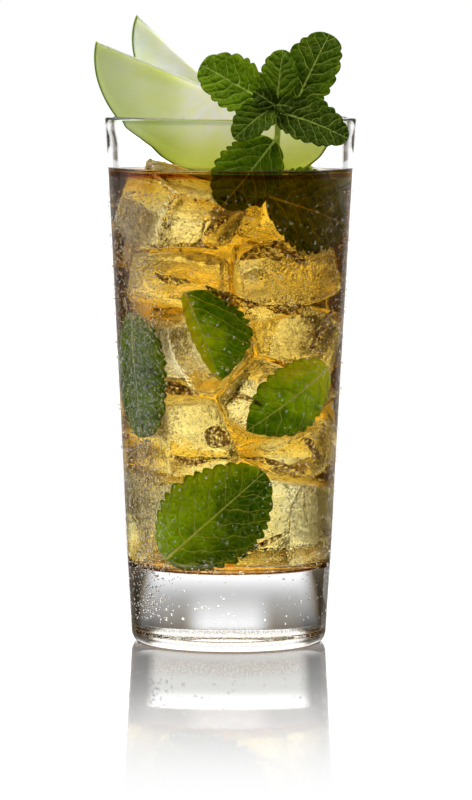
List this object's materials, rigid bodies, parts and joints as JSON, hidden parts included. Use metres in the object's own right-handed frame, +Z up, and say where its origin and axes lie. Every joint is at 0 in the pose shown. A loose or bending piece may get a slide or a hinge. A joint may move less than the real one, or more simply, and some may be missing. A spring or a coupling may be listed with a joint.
{
  "type": "mojito cocktail",
  "caption": "Tall tapered glass of amber iced drink, with half-moon slices of green apple on the rim and a sprig of mint leaning over it.",
  "frame": {"origin": "centre of the glass's flat underside", "axes": "+Z up along the glass's axis; -Y is the shown side, where the mint hangs over the rim; +X is to the right when seen from that side"},
  "size_m": [0.077, 0.0815, 0.1845],
  "materials": {
    "clear_glass": "clear, smooth, beaded with condensation",
    "amber_drink": "clear amber liquid, glossy surface",
    "apple": "moist pale green flesh with a thin green skin on the round edge",
    "mint_stem": "soft satin, yellow-green",
    "mint_leaf": "satin, quilted between pale veins"
  },
  "bodies": {
    "root": {"glass": "clear_glass", "drink": "amber_drink", "apple_slice_front": "apple", "apple_slice_back": "apple", "mint_stem": "mint_stem", "mint_bud": "mint_leaf", "mint_leaf_left": "mint_leaf", "mint_leaf_middle": "mint_leaf", "mint_leaf_upper_right": "mint_leaf", "mint_leaf_lower_right": "mint_leaf", "mint_leaf_lower_left": "mint_leaf", "mint_bud_leaf_left": "mint_leaf", "mint_bud_leaf_right": "mint_leaf", "mint_leaf_dipped": "mint_leaf", "mint_leaf_floating": "mint_leaf"}
  },
  "joints": []
}
